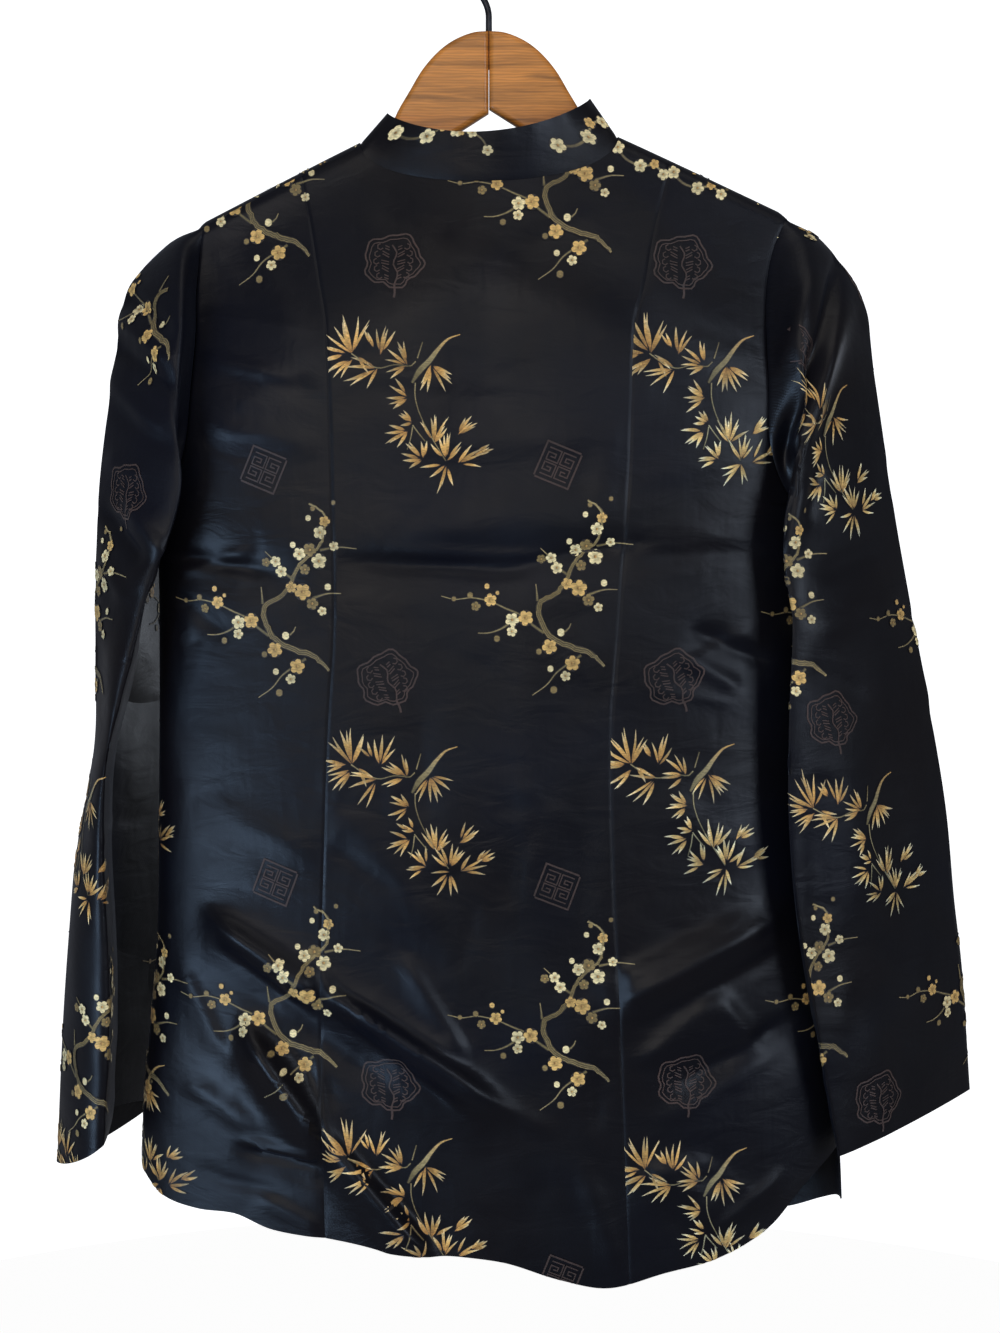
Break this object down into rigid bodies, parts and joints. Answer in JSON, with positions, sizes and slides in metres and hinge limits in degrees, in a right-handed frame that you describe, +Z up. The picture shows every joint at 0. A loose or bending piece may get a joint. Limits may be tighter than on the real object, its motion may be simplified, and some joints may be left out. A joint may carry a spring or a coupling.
{
  "type": "tang jacket on a wooden hanger",
  "caption": "Hip-length stand-collar tang jacket in dark brocade with princess-seamed back, set-in sleeves and cord frogs, hanging flat on a mitred wooden hanger with a wire hook.",
  "frame": {"origin": "top of the inner curve of the hanger's hook, where a rail holds it", "axes": "+Z up, +X to the right as the back of the jacket is looked at, the back of the jacket faces -Y and its buttoned front faces +Y"},
  "size_m": [0.6104, 0.1235, 0.8758],
  "materials": {
    "silk": "near-black satin-ground brocade with a blue sheen",
    "cord": "black satin cord",
    "wood": "lacquered orange-tan wood",
    "wire": "black painted wire"
  },
  "bodies": {
    "root": {"back_centre": "silk", "back_side_left": "silk", "back_side_right": "silk", "front_left": "silk", "front_right": "silk", "sleeve_left": "silk", "sleeve_right": "silk", "collar": "silk", "frog_knot_1": "cord", "frog_knot_2": "cord", "frog_knot_3": "cord", "frog_knot_4": "cord", "frog_knot_5": "cord", "frog_loop_1": "cord", "frog_loop_2": "cord", "frog_loop_3": "cord", "frog_loop_4": "cord", "frog_loop_5": "cord", "hanger_arm_left": "wood", "hanger_arm_right": "wood", "hanger_hook": "wire"}
  },
  "joints": []
}
